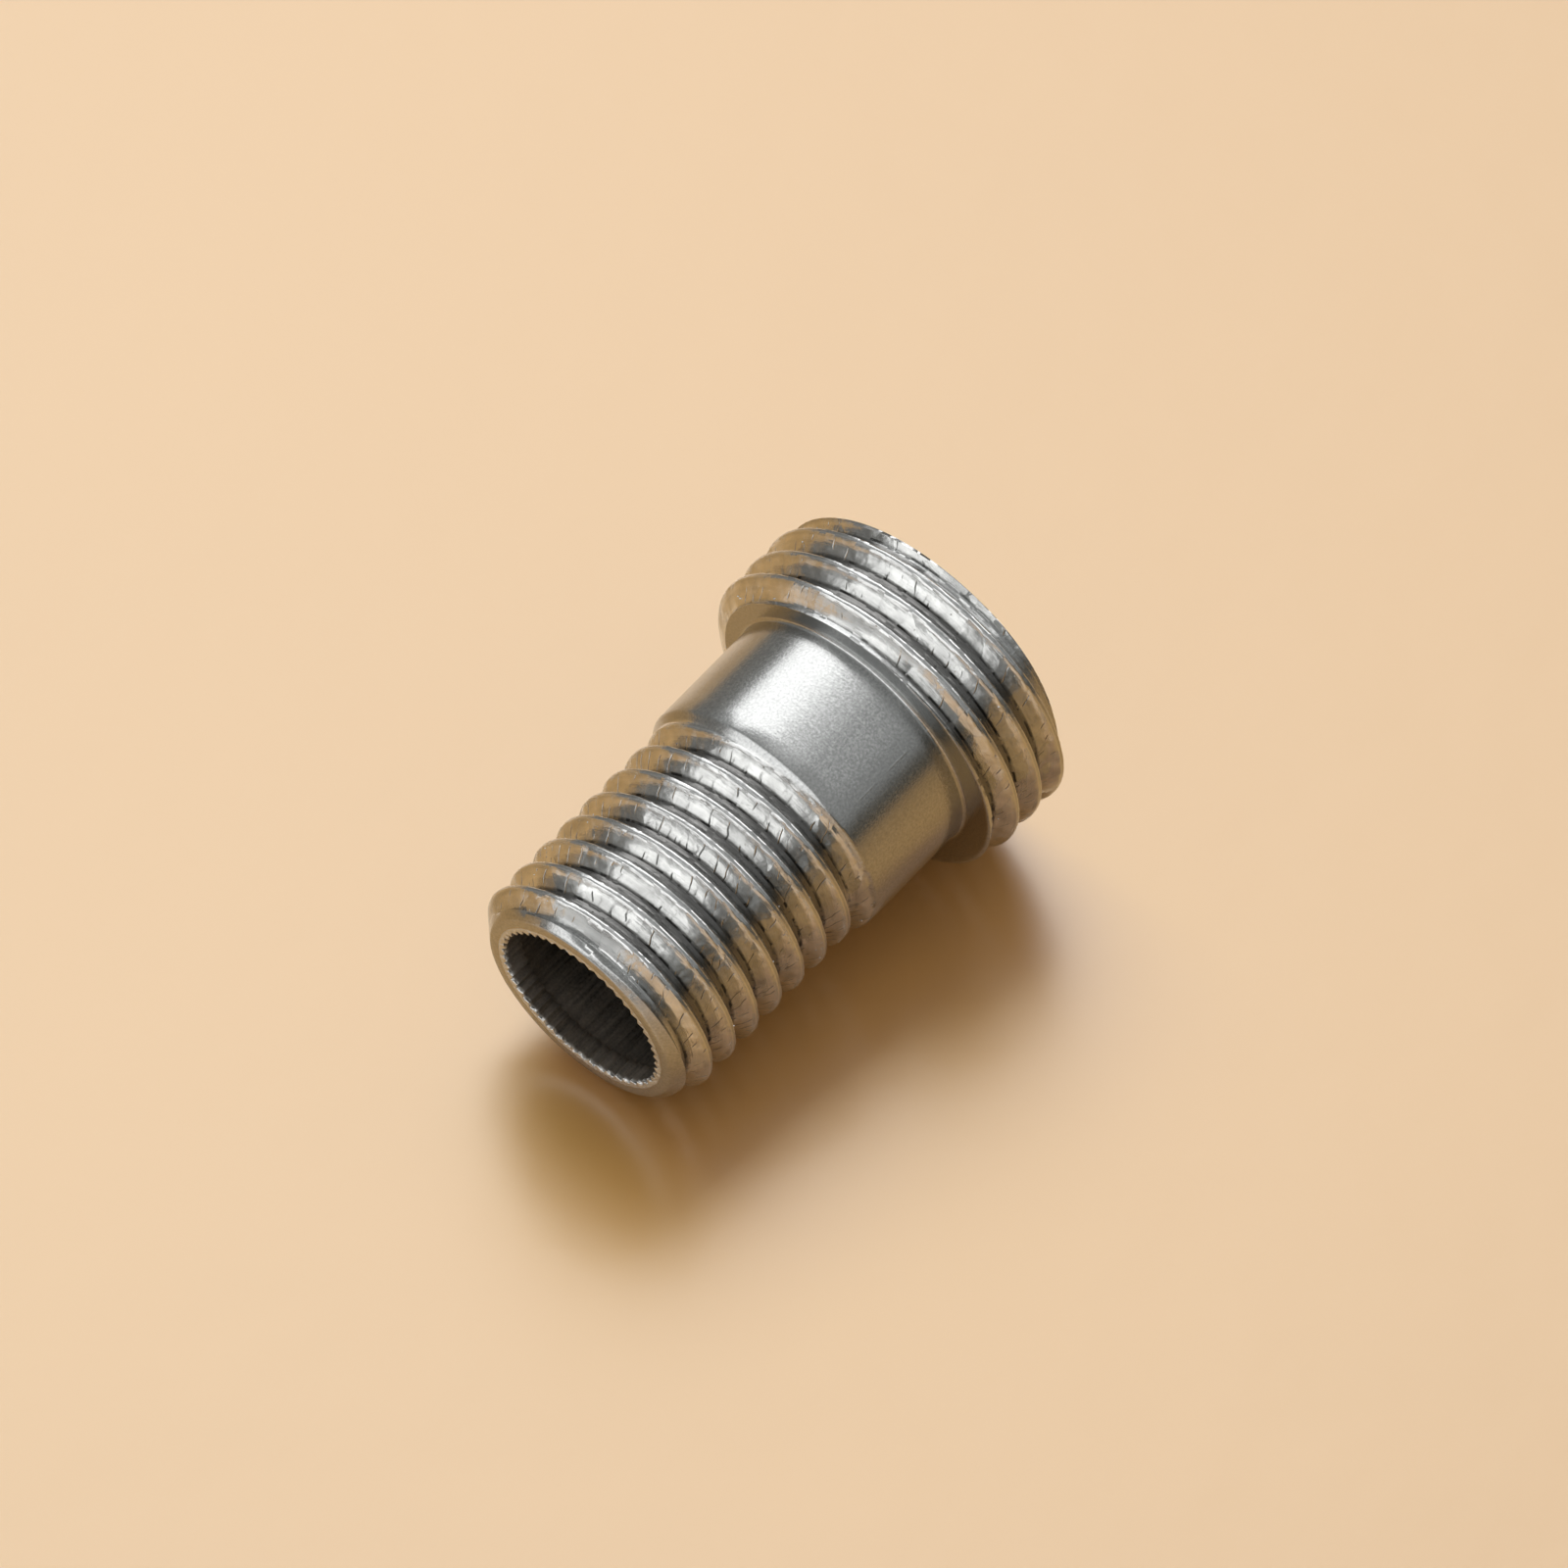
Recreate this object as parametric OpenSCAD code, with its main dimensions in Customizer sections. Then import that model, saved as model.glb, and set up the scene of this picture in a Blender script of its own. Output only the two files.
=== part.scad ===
// Crown tube of a watch with a screw-down crown.
// A turned steel tube screws into the case up to the underside of its head. The
// crown screws onto the head's outside thread, and two rubber rings inside the
// head seal the crown's post.
// Sizes are in millimetres. The tube's axis is X. The origin is on the axis in
// the plane of the seat, which is the head's underside. The crown is at +X and
// the inside of the watch at -X.

/* [Case thread] */
// Major diameter of the thread that screws into the case
case_thread_d = 2.8; // [2.6:0.05:2.9]
// Pitch of the case thread
case_pitch = 0.35; // [0.25:0.01:0.4]
// Length of the case thread, from the narrow face to the lead-in cone
case_thread_len = 2.72; // [1.2:0.02:4]
// Place of the groove's root below the narrow face, on the underneath side
case_thread_start = 0.06; // [0:0.01:0.15]
// Outer diameter of the flat ring on the narrow face
case_face_d = 2.36; // [2.25:0.01:2.5]

/* [Neck] */
// Diameter of the smooth neck that pilots the tube in the case
neck_d = 2.94; // [2.92:0.01:3.2]
// Length of the cone between the case thread and the neck
neck_lead_len = 0.1; // [0.05:0.01:0.3]
// Length of the neck, from the cone to the seat
neck_len = 1.38; // [0.6:0.01:3]
// Radius of the fillet between the neck and the seat
neck_fillet = 0.04; // [0.01:0.005:0.1]

/* [Head] */
// Major diameter of the thread that carries the crown
crown_thread_d = 3.8; // [3.6:0.05:4.4]
// Pitch of the crown thread
crown_pitch = 0.35; // [0.25:0.01:0.4]
// Length of the head, from the seat to the crown face
head_len = 1.22; // [1.2:0.01:2.2]
// Place of the groove's root below the seat, on the underneath side
crown_thread_start = 0.11; // [0:0.01:0.15]
// Radial size of the 45 degree chamfer at the seat
seat_chamfer = 0.115; // [0.05:0.005:0.2]
// Radial size of the 45 degree chamfer at the crown face
crown_chamfer = 0.13; // [0.05:0.005:0.2]

/* [Bore] */
// Diameter of the smooth bore that the crown's post passes through
bore_d = 2.1; // [1.9:0.01:2.14]
// Diameter over the tips of the serration in the narrow mouth
serration_tip_d = 1.95; // [1.5:0.01:2.02]
// Diameter over the roots of the serration
serration_root_d = 2.05; // [2.03:0.01:2.1]
// Length of the serrated land
serration_len = 0.25; // [0.1:0.01:0.6]
// Number of teeth that a splined key turns the tube by
serration_teeth = 50; // [24:1:60]

/* [Seals] */
// Inner diameter of the rubber rings at rest
seal_inner_d = 1.96; // [1.8:0.01:2.04]
// Thickness of the rubber rings' round cord
seal_cord_d = 0.315; // [0.25:0.005:0.35]
// Thickness of the steel washer between the rubber rings
spacer_t = 0.13; // [0.06:0.01:0.25]
// Length of the pressed-in collar that keeps the seals in
collar_len = 0.36; // [0.15:0.01:0.6]
// Chamfer that leads the post into the collar
collar_lead = 0.06; // [0.02:0.01:0.12]
// Depth of the collar below the crown face
collar_sink = 0.08; // [0.02:0.01:0.2]
// Clearance left between neighbouring pieces
fit_gap = 0.005; // [0.002:0.001:0.01]

/* [Hidden] */
$fn = 96;

steel = "#b4b3af";
rubber = "#1d1c1b";

// Thread form: 60 degree flanks, a crest flat of an eighth of the pitch and a
// root flat of a sixth.
flank_half_angle = 30;
crest_flat_share = 1 / 8;
root_flat_share = 1 / 6;
function thread_depth(pitch) =
    pitch * (1 - crest_flat_share - root_flat_share) / 2 / tan(flank_half_angle);

// A thread's cutter has sections this often, and it is never wider than this
// share of the pitch, so that its turns stay apart. Its upright walls are at
// least this high.
steps_per_turn = 36;
cutter_width_share = 0.95;
least_wall = 0.001;
// The case thread's groove runs out in this many turns, and it ends this many
// turns past the start of the lead-in cone.
runout_turns = 0.6;
runout_past_cone = 0.35;
// Turns that a cutter starts before the metal, and ends after it
idle_turns = 0.6;
// Straight steps that the fillet is made of
fillet_steps = 6;
// Overshoot of a cut past the face that it opens
cut = 0.05;

case_r = case_thread_d / 2;
neck_r = neck_d / 2;
crown_r = crown_thread_d / 2;
case_face_r = case_face_d / 2;

neck_x = -neck_len;
case_thread_end_x = neck_x - neck_lead_len;
narrow_face_x = case_thread_end_x - case_thread_len;

// The pocket in the head fits round the rubber rings. Its contents are stacked
// from the collar down to its floor.
pocket_d = seal_inner_d + 2 * (seal_cord_d + fit_gap);
seal_centre_r = (seal_inner_d + seal_cord_d) / 2;
collar_x = head_len - collar_sink - collar_len;
outer_seal_x = collar_x - fit_gap - seal_cord_d / 2;
spacer_x = outer_seal_x - seal_cord_d / 2 - fit_gap - spacer_t;
inner_seal_x = spacer_x - fit_gap - seal_cord_d / 2;
pocket_floor_x = inner_seal_x - seal_cord_d / 2 - fit_gap;

// Turns a shape that is drawn round Z so that its Z becomes the tube's X.
module along_x(x = 0) {
    translate([x, 0, 0]) rotate([0, 90, 0]) children();
}

// One section of a thread cutter, as points [axial, radial]: a root flat, two
// flanks, and upright walls where the cutter would get too wide.
function groove_section(root_r, top_r, pitch) =
    let (root_half = pitch * root_flat_share / 2,
         top_half = min(pitch * cutter_width_share / 2,
                        root_half + (top_r - root_r) * tan(flank_half_angle)),
         shoulder_r = min(root_r + (top_half - root_half) / tan(flank_half_angle),
                          top_r - least_wall))
    [[-root_half, root_r], [root_half, root_r], [top_half, shoulder_r],
     [top_half, top_r], [-top_half, top_r], [-top_half, shoulder_r]];

// Right-handed helical groove along X, from turn t0 to turn t1. Turn 0 has its
// root at x on the -Z side of the tube. Over the last runout turns the root
// climbs to top_r, which is clear of the metal.
module groove_cutter(crest_r, top_r, pitch, x, t0, t1, runout) {
    root_r = crest_r - thread_depth(pitch);
    count = ceil((t1 - t0) * steps_per_turn);
    sections = [for (i = [0:count])
        let (turn = t0 + (t1 - t0) * i / count,
             lift = runout > 0 ? max(0, 1 - (t1 - turn) / runout) : 0,
             floor_r = root_r + (top_r - cut / 2 - root_r) * lift)
        [for (p = groove_section(floor_r, top_r, pitch))
            [x + turn * pitch + p[0], p[1] * sin(turn * 360), -p[1] * cos(turn * 360)]]];
    sides = len(sections[0]);
    walls = [for (i = [0:count - 1]) for (k = [0:sides - 1])
        let (a = sides * i + k, b = sides * i + (k + 1) % sides)
        each [[a, b + sides, b], [a, a + sides, b + sides]]];
    first_cap = [for (k = [1:sides - 2]) [0, k, k + 1]];
    last_cap = [for (k = [1:sides - 2]) [sides * count, sides * count + k + 1, sides * count + k]];
    polyhedron([for (s = sections) each s], concat(walls, first_cap, last_cap), convexity = 10);
}

module case_thread_cutter() {
    cone_turn = (case_thread_len + case_thread_start) / case_pitch;
    groove_cutter(case_r, neck_r + cut, case_pitch, narrow_face_x - case_thread_start,
                  -idle_turns, cone_turn + runout_past_cone, runout_turns);
}

module crown_thread_cutter() {
    end_turn = (head_len + crown_thread_start) / crown_pitch;
    groove_cutter(crown_r, crown_r + cut, crown_pitch, -crown_thread_start,
                  -idle_turns, end_turn + idle_turns, 0);
}

// Outline of the tube blank as [radius, x], without threads and bores
module blank_outline() {
    fillet = [for (i = [0:fillet_steps])
        let (a = 90 * i / fillet_steps)
        [neck_r + neck_fillet * (1 - cos(a)), -neck_fillet * (1 - sin(a))]];
    polygon([
        [0, narrow_face_x], [case_face_r, narrow_face_x],
        [case_r, narrow_face_x + case_r - case_face_r], [case_r, case_thread_end_x],
        [neck_r, neck_x], each fillet,
        [crown_r - seat_chamfer, 0], [crown_r, seat_chamfer],
        [crown_r, head_len - crown_chamfer], [crown_r - crown_chamfer, head_len],
        [0, head_len]]);
}

// Star that cuts the teeth: the tips of the metal point at the axis.
module serration_outline() {
    polygon([for (i = [0:2 * serration_teeth - 1])
        let (r = (i % 2 == 0 ? serration_tip_d : serration_root_d) / 2,
             a = 180 * i / serration_teeth)
        [r * cos(a), r * sin(a)]]);
}

// Serrated mouth, smooth bore and seal pocket, as one cut
module bores() {
    bore_x = narrow_face_x + serration_len;
    along_x(narrow_face_x - cut) linear_extrude(serration_len + 2 * cut) serration_outline();
    along_x(bore_x) cylinder(d = bore_d, h = pocket_floor_x - bore_x + cut);
    along_x(pocket_floor_x) cylinder(d = pocket_d, h = head_len - pocket_floor_x + cut);
}

module tube_body() {
    color(steel) difference() {
        along_x() rotate_extrude() blank_outline();
        case_thread_cutter();
        crown_thread_cutter();
        bores();
    }
}

module rubber_ring(x) {
    color(rubber) along_x(x)
        rotate_extrude() translate([seal_centre_r, 0]) circle(d = seal_cord_d);
}

module inner_seal() rubber_ring(inner_seal_x);

module outer_seal() rubber_ring(outer_seal_x);

// Ring that fits the pocket and lets the post through
module pocket_ring(x, length) {
    along_x(x) difference() {
        cylinder(d = pocket_d - 2 * fit_gap, h = length);
        translate([0, 0, -cut]) cylinder(d = bore_d, h = length + 2 * cut);
    }
}

module seal_spacer() {
    color(steel) pocket_ring(spacer_x, spacer_t);
}

module retaining_collar() {
    lead_h = collar_lead + cut;
    color(steel) difference() {
        pocket_ring(collar_x, collar_len);
        along_x(collar_x + collar_len - collar_lead)
            cylinder(d1 = bore_d, d2 = bore_d + 2 * lead_h, h = lead_h);
    }
}

tube_body();
inner_seal();
seal_spacer();
outer_seal();
retaining_collar();
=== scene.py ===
"""Looks of a watch crown tube, a threaded steel tube that lies on a pale surface.

Sizes are in millimetres unless a name or a comment says otherwise. The tube's
axis is X, the seat under its head lies at x = 0, and the crown's end is at +X.
An angle round the tube is 0 at its underside, a quarter turn at +Y, and half a
turn on top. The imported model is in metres, so meshes are scaled at their end.
"""

import logging
import math
from collections.abc import Callable
from dataclasses import dataclass, field
from enum import Enum

import bpy
from mathutils import Matrix, Vector


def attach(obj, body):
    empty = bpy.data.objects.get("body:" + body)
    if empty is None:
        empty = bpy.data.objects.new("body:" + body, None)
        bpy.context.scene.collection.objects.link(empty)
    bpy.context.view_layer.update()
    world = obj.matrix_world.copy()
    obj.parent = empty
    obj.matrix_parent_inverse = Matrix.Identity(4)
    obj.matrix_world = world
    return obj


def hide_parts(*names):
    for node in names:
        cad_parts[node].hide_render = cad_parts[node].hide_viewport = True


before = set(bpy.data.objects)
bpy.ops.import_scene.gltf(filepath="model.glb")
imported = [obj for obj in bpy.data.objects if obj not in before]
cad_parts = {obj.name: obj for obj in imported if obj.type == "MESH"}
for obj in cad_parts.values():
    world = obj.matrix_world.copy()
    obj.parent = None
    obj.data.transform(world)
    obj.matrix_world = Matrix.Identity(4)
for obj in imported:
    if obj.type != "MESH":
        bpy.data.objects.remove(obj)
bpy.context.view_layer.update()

METRES = 0.001
FAR = 99.0
ROOT_BODY = "root"
Triple = tuple[float, float, float]

log = logging.getLogger("crown_tube")


class Slot(Enum):
    """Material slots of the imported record."""

    TUBE_STEEL = "tube_steel"
    RING_STEEL = "ring_steel"
    SEAL_RUBBER = "seal_rubber"


def math_method(operation: str, swapped: bool = False) -> Callable:
    """Makes an operator of a wire.

    Args:
        operation: Operation of the Math node that the operator adds.
        swapped: True where the wire is the right-hand side.

    Returns:
        The method, which takes the other side and returns the node's value.
    """

    def method(self: "Wire", other: "Wire | float") -> "Wire":
        """Returns the value of the two."""
        return self.graph.math(operation, *((other, self) if swapped else (self, other)))

    return method


class Wire:
    """An output socket of a node that takes part in Python expressions."""

    __add__ = math_method("ADD")
    __radd__ = math_method("ADD", swapped=True)
    __sub__ = math_method("SUBTRACT")
    __rsub__ = math_method("SUBTRACT", swapped=True)
    __mul__ = math_method("MULTIPLY")
    __rmul__ = math_method("MULTIPLY", swapped=True)
    __truediv__ = math_method("DIVIDE")
    __rtruediv__ = math_method("DIVIDE", swapped=True)
    __gt__ = math_method("GREATER_THAN")
    __lt__ = math_method("LESS_THAN")
    least = math_method("MINIMUM")
    most = math_method("MAXIMUM")

    def __init__(self, graph: "Graph", socket: bpy.types.NodeSocket) -> None:
        """Keeps the socket and the graph that it belongs to."""
        self.graph = graph
        self.socket = socket

    def __abs__(self) -> "Wire":
        """Returns the size without the sign."""
        return self.graph.math("ABSOLUTE", self)

    def out(self, name: "str | int") -> "Wire":
        """Returns another output of the same node."""
        return Wire(self.graph, self.socket.node.outputs[name])

    def floor(self) -> "Wire":
        """Returns the next whole number below."""
        return self.graph.math("FLOOR", self)

    def fract(self) -> "Wire":
        """Returns what is past the next whole number below."""
        return self.graph.math("FRACT", self)

    def clamp(self, low: float = 0.0, high: float = 1.0) -> "Wire":
        """Returns the value held between two limits."""
        return self.most(low).least(high)

    def rise(self, low: float, high: float) -> "Wire":
        """Returns a smooth step from 0 at low to 1 at high."""
        return self.graph.node(
            "ShaderNodeMapRange",
            {"Value": self, "From Min": low, "From Max": high},
            interpolation_type="SMOOTHSTEP",
        )

    def bump_at(self, middle: float, width: float) -> "Wire":
        """Returns a smooth hill of height 1 round the middle."""
        return 1.0 - abs(self - middle).rise(0.0, width)

    def eased_least(self, other: "Wire | float", reach: "Wire | float") -> "Wire":
        """Returns the smaller of the two, with the corner between them rounded."""
        return self.graph.math("SMOOTH_MIN", self, other, reach)

    def parts(self) -> "tuple[Wire, Wire, Wire]":
        """Returns the three numbers of a vector."""
        split = self.graph.node("ShaderNodeSeparateXYZ", {0: self})
        return split, split.out(1), split.out(2)

    def scaled(self, factor: "Wire | float") -> "Wire":
        """Returns a vector times a number."""
        return self.graph.tint(self, factor)

    def moved(self, step: "Wire | Triple") -> "Wire":
        """Returns the sum of two vectors."""
        return self.graph.node("ShaderNodeVectorMath", {0: self, 1: step}, operation="ADD")

    def dot(self, other: "Wire | Triple") -> "Wire":
        """Returns the dot product of two vectors."""
        return self.graph.node(
            "ShaderNodeVectorMath", {0: self, 1: other}, out="Value", operation="DOT_PRODUCT"
        )


class Graph:
    """A node tree that is written as calls and expressions."""

    def __init__(self, tree: bpy.types.NodeTree) -> None:
        """Takes over a tree and clears it."""
        self.tree = tree
        tree.nodes.clear()

    def node(
        self, kind: str, inputs: "dict | None" = None, out: "str | int" = 0, **settings: object
    ) -> Wire:
        """Adds one node.

        Args:
            kind: The node's type.
            inputs: Values or wires by the socket's name or number.
            out: Name or number of the output that is returned.
            settings: The node's settings. They are set before its sockets, because
                they can change which sockets it has.

        Returns:
            The output as a wire.
        """
        made = self.tree.nodes.new(kind)
        for name, value in settings.items():
            setattr(made, name, value)
        for name, value in (inputs or {}).items():
            if isinstance(value, Wire):
                self.tree.links.new(value.socket, made.inputs[name])
            else:
                made.inputs[name].default_value = value
        return Wire(self, made.outputs[out]) if len(made.outputs) else None

    def math(self, operation: str, *terms: "Wire | float") -> Wire:
        """Adds a Math node and returns its value."""
        return self.node("ShaderNodeMath", dict(enumerate(terms)), operation=operation)

    def vector(self, x: "Wire | float", y: "Wire | float", z: "Wire | float") -> Wire:
        """Returns a vector of three numbers."""
        return self.node("ShaderNodeCombineXYZ", {0: x, 1: y, 2: z})

    def noise(
        self,
        place: Wire,
        scale: float,
        detail: float = 2.0,
        roughness: float = 0.5,
        wide: float = 0.0,
    ) -> Wire:
        """Returns smooth noise, about 0.5 on average.

        Args:
            place: Where the noise is read.
            scale: Waves in one unit of place.
            detail: How many finer layers are added.
            roughness: How strong the finer layers are.
            wide: Contrast that is added round 0.5.

        Returns:
            The noise as a number.
        """
        plain = self.node(
            "ShaderNodeTexNoise",
            {"Vector": place, "Scale": scale, "Detail": detail, "Roughness": roughness},
        )
        return (plain - 0.5) * (1.0 + wide) + 0.5 if wide else plain

    def mix(self, share: "Wire | float", first: "Wire | Triple", second: "Wire | Triple") -> Wire:
        """Returns a colour between two colours."""
        first, second = (c if isinstance(c, Wire) else (*c, 1.0) for c in (first, second))
        return self.node("ShaderNodeMix", {0: share, 6: first, 7: second}, out=2, data_type="RGBA")

    def tint(self, colour: "Wire | Triple", factor: "Wire | float") -> Wire:
        """Returns a colour or a vector times a number."""
        return self.node("ShaderNodeVectorMath", {0: colour, "Scale": factor}, operation="SCALE")


class FinishGraph(Graph):
    """Node tree of one finish, with the place on the piece in millimetres."""

    def __init__(self, name: str) -> None:
        """Makes the material.

        Args:
            name: Name of the material.
        """
        self.material = bpy.data.materials.new(name)
        self.material.use_nodes = True
        super().__init__(self.material.node_tree)
        plain = self.node("ShaderNodeTexCoord", out="Object")
        self.place = plain.scaled(1.0 / METRES)
        self.x, self.y, self.z = self.place.parts()
        self.r = self.math("SQRT", self.y * self.y + self.z * self.z)
        self.angle = self.math("ARCTAN2", self.y, self.z)

    def mark(self, name: str) -> Wire:
        """Returns a mark that the shape keeps on its points, from 0 to 1."""
        return self.node("ShaderNodeAttribute", out="Fac", attribute_name=name)

    def cells(self, place: Wire, scale: float, feature: str, out: str) -> Wire:
        """Returns one output of a cell pattern."""
        return self.node(
            "ShaderNodeTexVoronoi", {"Vector": place, "Scale": scale}, out=out, feature=feature
        )

    def surface(self, height: Wire, **sockets: object) -> bpy.types.Material:
        """Ends the tree in a Principled shader.

        Args:
            height: Relief of the surface in millimetres.
            sockets: Values or wires of the shader, with _ for each space.

        Returns:
            The finished material.
        """
        bump = {"Strength": 1.0, "Distance": METRES, "Height": height}
        relief = self.node("ShaderNodeBump", bump)
        inputs = {name.replace("_", " "): value for name, value in sockets.items()}
        shader = self.node("ShaderNodeBsdfPrincipled", {**inputs, "Normal": relief})
        self.node("ShaderNodeOutputMaterial", {"Surface": shader})
        return self.material


@dataclass(frozen=True)
class TubeSteel:
    """Satin turned steel whose thread flanks are torn and burred.

    The bore's finish ends between the two radii of inside_r. The mouth's painted
    highlight ends between the two places of mouth_x, and painted shade darkens the bore along
    dims_x.
    """

    name: str = "tube_steel"
    colour: Triple = (0.50, 0.505, 0.50)
    torn: Triple = (0.74, 0.74, 0.73)
    # Brighter colour on the crest edges and the mouth's rim: a painted highlight.
    edge_highlight: Triple = (0.74, 0.745, 0.74)
    # Dark colour of the cracks, and painted shade at the grooves' bottoms.
    crack_dark_and_groove_shade: Triple = (0.09, 0.085, 0.08)
    # Brown tint inside the bore.
    bore_tint: Triple = (0.42, 0.36, 0.29)
    inside_r: tuple[float, float] = (1.055, 1.075)
    mouth_x: tuple[float, float] = (-4.198, -4.17)
    dims_x: tuple[float, float] = (-4.02, -3.5)
    # Groove depths over which the painted shade sets in.
    groove_shade_depths: tuple[float, float] = (0.80, 0.98)
    head_from_r: float = 1.5
    least_arc_r: float = 1.0
    flakes: float = 4.2
    fine_flakes: float = 7.0
    cracks: float = 5.6
    ridge_shift: float = 5.17
    crack_width: float = 0.055
    crack_depth: float = 0.0055
    scratch_angle: float = -0.83
    scratch_width: float = 0.012

    def material(self) -> bpy.types.Material:
        """Returns the finish, which reads the marks tear, edge, depth and ridge."""
        g = FinishGraph(self.name)
        tear, edge, depth = g.mark("tear"), g.mark("edge"), g.mark("depth")
        smooth = 1.0 - tear
        arc = g.angle * g.r.most(self.least_arc_r)

        grain = g.noise(g.place, 38.0, 2.0, 0.6)
        cloud = g.noise(g.place, 2.6, 2.0)
        lathe = g.noise(g.vector(g.x * 46.0, g.y * 1.2, g.z * 1.2), 1.0, 3.0, 0.7)
        facing = g.noise(g.vector(g.r * 52.0, g.y * 0.8, g.z * 0.8), 1.0, 2.0, 0.6)
        smear = g.noise(g.place, 9.0, 2.0, 0.5)
        blotch = g.noise(g.place, 4.2, 2.0, 0.5, 0.5) - 0.5
        drawn = g.noise(g.vector(g.x * 13.0, arc * 1.1, g.r * 13.0), 1.0, 3.0, 0.6) - 0.5
        tilt, flake = self._flakes(g, arc)
        crack = self._cracks(g, arc) * tear.rise(0.0, 0.5)

        inside = 1.0 - g.r.rise(*self.inside_r)
        streak = g.noise(g.vector(g.x * 1.1, g.y * 17.0, g.z * 17.0), 1.0, 2.0, 0.6) - 0.5
        # Painted highlight round the mouth's rim, with bumps that make it glint.
        mouth = inside * (1.0 - g.x.rise(*self.mouth_x))
        scratch = g.angle.bump_at(self.scratch_angle, self.scratch_width)
        scratch = scratch * (g.x - 0.1 * cloud).rise(-1.3, -1.0) * smooth * cloud.rise(0.3, 0.6)

        height = (
            grain * (0.00015 + smooth * 0.00075)
            + (lathe * 0.0007 + facing * 0.0004) * smooth
            + (smear * 0.003 + drawn * 0.004 + flake * 0.002) * tear
            + tilt * tear * 0.13
            - crack * self.crack_depth
            + streak * inside * 0.005
            + (g.noise(g.place, 22.0, 1.0) - 0.5) * mouth * 0.03
            + scratch * 0.001
        )
        shine = 0.22 + (grain - 0.5) * 0.12 * smooth + (cloud - 0.5) * 0.06
        rough = shine + tear * ((smear - 0.5) * 0.15 - 0.01) - edge * 0.06 + inside * 0.22
        brightness = (
            1.0
            + (grain - 0.5) * (0.06 + smooth * 0.74)
            + scratch * 0.2
            + (lathe - 0.5) * 0.10 * smooth
            + ((smear - 0.5) * 0.15 + flake * 0.15 + blotch * 0.45 + drawn * 0.55) * tear
            # Painted shade: the bore darkens further in from the mouth.
            + (streak * 1.3 - g.x.rise(*self.dims_x) * 0.5) * inside
        )
        bare = g.mix(tear.most(edge), self.colour, self.torn)
        # Inside the bore the steel is tinted brown.
        steel = g.tint(g.mix(inside * 0.7, bare, self.bore_tint), brightness)
        # Painted highlight on the crest edges and the mouth's rim.
        highlighted = g.mix((edge * 0.8).most(mouth).clamp(), steel, self.edge_highlight)
        cracked = g.mix((crack * 0.6).clamp(), highlighted, self.crack_dark_and_groove_shade)
        # Painted shade: the grooves darken towards their bottoms, where shade falls.
        deep = g.mix(depth.rise(*self.groove_shade_depths) * 0.75, cracked, self.crack_dark_and_groove_shade)
        return g.surface(height, Base_Color=deep, Metallic=1.0, Roughness=rough.clamp(0.12, 0.8))

    def _flakes(self, g: FinishGraph, arc: Wire) -> tuple[Wire, Wire]:
        """Returns the tilt of large flakes and the level of fine ones.

        Args:
            g: Tree of the finish.
            arc: Way round the tube in millimetres.

        Returns:
            The tilt's height, and a number about 0.
        """
        sway = g.vector(
            g.noise(g.place, 5.0, 2.0) * 0.16, g.noise(g.place, 7.0, 2.0) * 0.12, 0.0
        )
        bent = g.vector(g.x * 0.5, arc, g.r * 0.5).moved(sway)
        centre = g.cells(bent, self.flakes, "F1", "Position")
        lean = g.cells(bent, self.flakes, "F1", "Color").moved((-0.5, -0.5, -0.5))
        fine = g.cells(bent.moved((3.1, 1.7, 0.6)), self.fine_flakes, "SMOOTH_F1", "Color")
        return bent.moved(centre.scaled(-1.0)).dot(lean), fine.dot((0.5, 0.5, 0.0)) - 0.5

    def _cracks(self, g: FinishGraph, arc: Wire) -> Wire:
        """Returns cracks across the flanks, which are 1 at their middle and 0 elsewhere.

        Args:
            g: Tree of the finish.
            arc: Way round the tube in millimetres.

        Returns:
            The cracks. Each turn of a thread has them in other places, and some
            stretches have none.
        """
        around = arc * self.cracks + g.mark("ridge") * self.ridge_shift
        gap = g.node(
            "ShaderNodeTexVoronoi",
            {"W": around + g.noise(g.place, 5.0, 1.0) * 0.55, "Scale": 1.0},
            out="Distance",
            voronoi_dimensions="1D",
            feature="DISTANCE_TO_EDGE",
        )
        stretch = g.noise(g.place.moved((4.0, 9.0, 2.0)), 4.5, 1.0)
        seen = (stretch - (g.r > self.head_from_r) * 0.07).rise(0.46, 0.58)
        return (1.0 - gap.rise(0.0, self.crack_width)) * seen


@dataclass(frozen=True)
class RingSteel:
    """Finely turned steel of the washer and the collar."""

    name: str = "ring_steel"
    colour: Triple = (0.62, 0.61, 0.59)

    def material(self) -> bpy.types.Material:
        """Returns the finish, with tool marks round the axis."""
        g = FinishGraph(self.name)
        grain = g.noise(g.place, 30.0, 3.0, 0.6)
        lathe = g.noise(g.vector(g.x * 60.0, g.y * 1.5, g.z * 1.5), 1.0, 3.0, 0.7)
        facing = g.noise(g.vector(g.r * 60.0, g.y * 1.5, g.z * 1.5), 1.0, 3.0, 0.7)
        marks = lathe + facing - 1.0
        brightness = 1.0 + marks * 0.16 + (grain - 0.5) * 0.2
        height = grain * 0.0006 + marks * 0.0012
        rough = 0.3 + (grain - 0.5) * 0.2 + marks * 0.08
        return g.surface(
            height,
            Base_Color=g.tint(self.colour, brightness),
            Metallic=1.0,
            Roughness=rough.clamp(0.15, 0.6),
        )


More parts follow.
